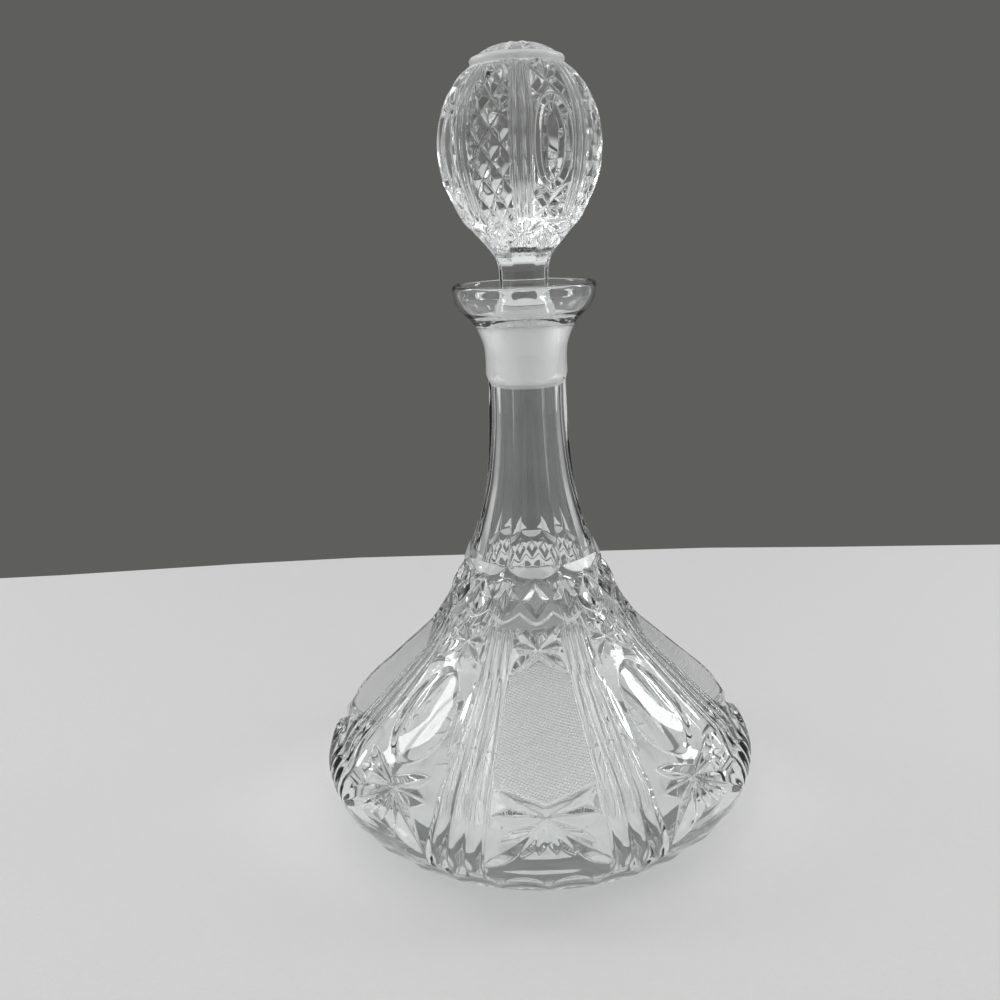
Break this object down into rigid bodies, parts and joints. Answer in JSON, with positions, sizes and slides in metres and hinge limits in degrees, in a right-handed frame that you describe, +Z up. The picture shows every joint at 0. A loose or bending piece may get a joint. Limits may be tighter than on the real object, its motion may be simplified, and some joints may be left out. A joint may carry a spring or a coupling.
{
  "type": "decanter",
  "caption": "Glass ship's decanter with a wide low body, fluted neck, pressed diamonds, stars and matt panels, and an egg-shaped ground stopper",
  "frame": {"origin": "on the ground under the middle of the foot", "axes": "+Z up along the neck, -Y through the middle of a matt panel, which faces the front"},
  "size_m": [0.1804, 0.1804, 0.3],
  "materials": {
    "body_glass": "clear polished glass, with matt etched panels and a ground neck socket",
    "stopper_glass": "clear polished glass with a ground plug"
  },
  "bodies": {
    "decanter": {"decanter_body": "body_glass"},
    "stopper": {"stopper": "stopper_glass"}
  },
  "joints": [
    {"name": "stopper_lift", "type": "slide", "parent": "decanter", "child": "stopper", "axis": [0, 0, 1], "range_m": [0, 0.06]}
  ]
}
